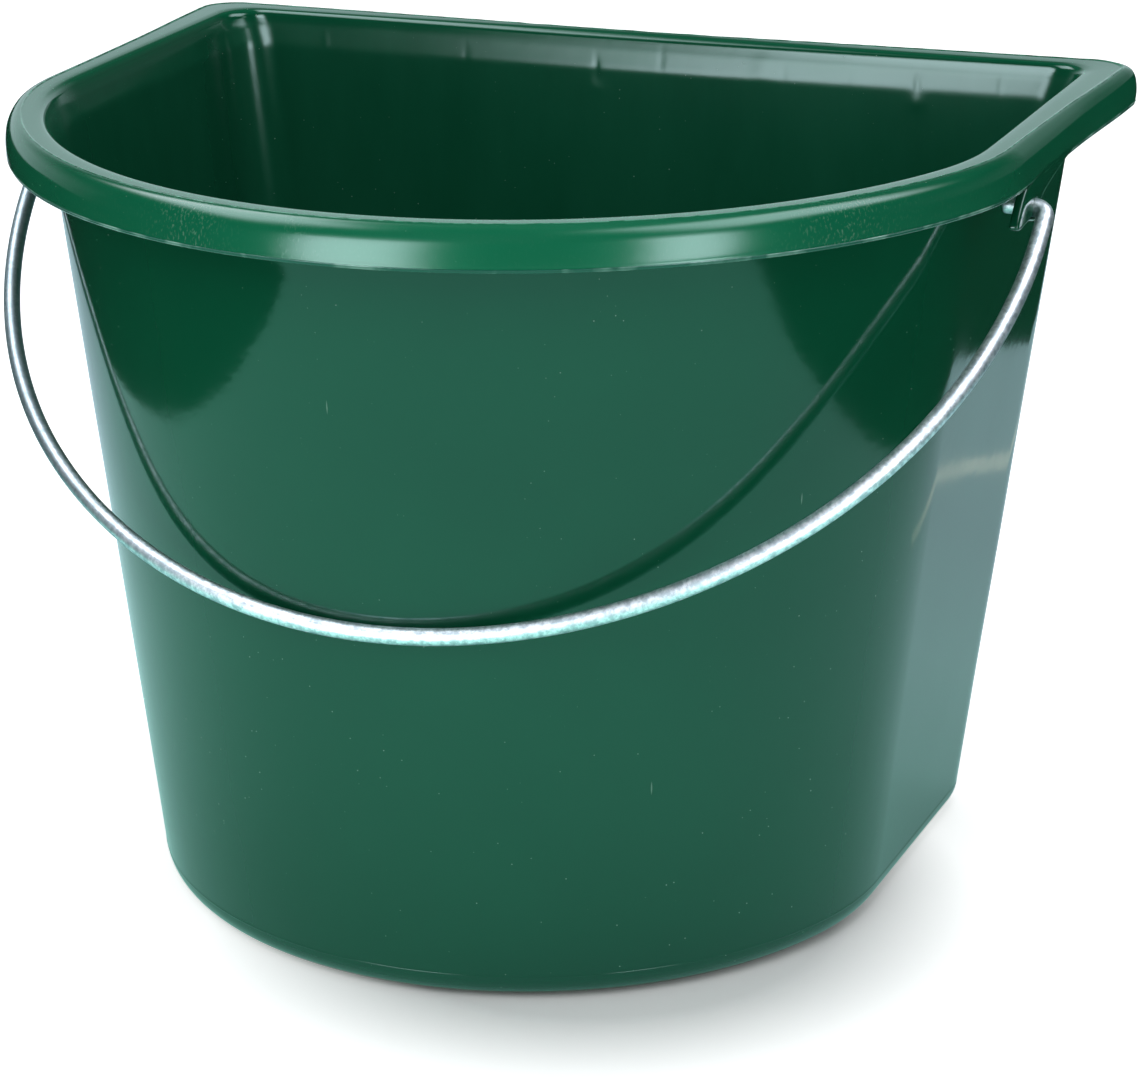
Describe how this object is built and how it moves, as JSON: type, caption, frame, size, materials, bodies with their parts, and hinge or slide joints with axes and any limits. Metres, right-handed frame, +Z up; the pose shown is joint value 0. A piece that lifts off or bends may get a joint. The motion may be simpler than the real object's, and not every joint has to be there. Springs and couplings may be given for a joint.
{
  "type": "feed bucket",
  "caption": "Flat-backed plastic stable bucket with a rolled rim and a wire bail that swings on two ears under the rim.",
  "frame": {"origin": "on the floor, under the middle of the rim", "axes": "+Z up, +Y out of the flat back, -Y out of the round front, +X to the bucket's left seen from the back; the bail swings about X"},
  "size_m": [0.3896, 0.3029, 0.285],
  "materials": {
    "green_plastic": "glossy injection-moulded polypropylene, deep green",
    "galvanised_wire": "bright zinc-coated round wire with faint drawn streaks"
  },
  "bodies": {
    "bucket": {"bucket_body": "green_plastic"},
    "bail": {"bail_handle": "galvanised_wire"}
  },
  "joints": [
    {"name": "bail_swing", "type": "hinge", "parent": "bucket", "child": "bail", "pos_m": [0, 0.022, 0.262], "axis": [-1, 0, 0], "range_deg": [0, 176]}
  ]
}
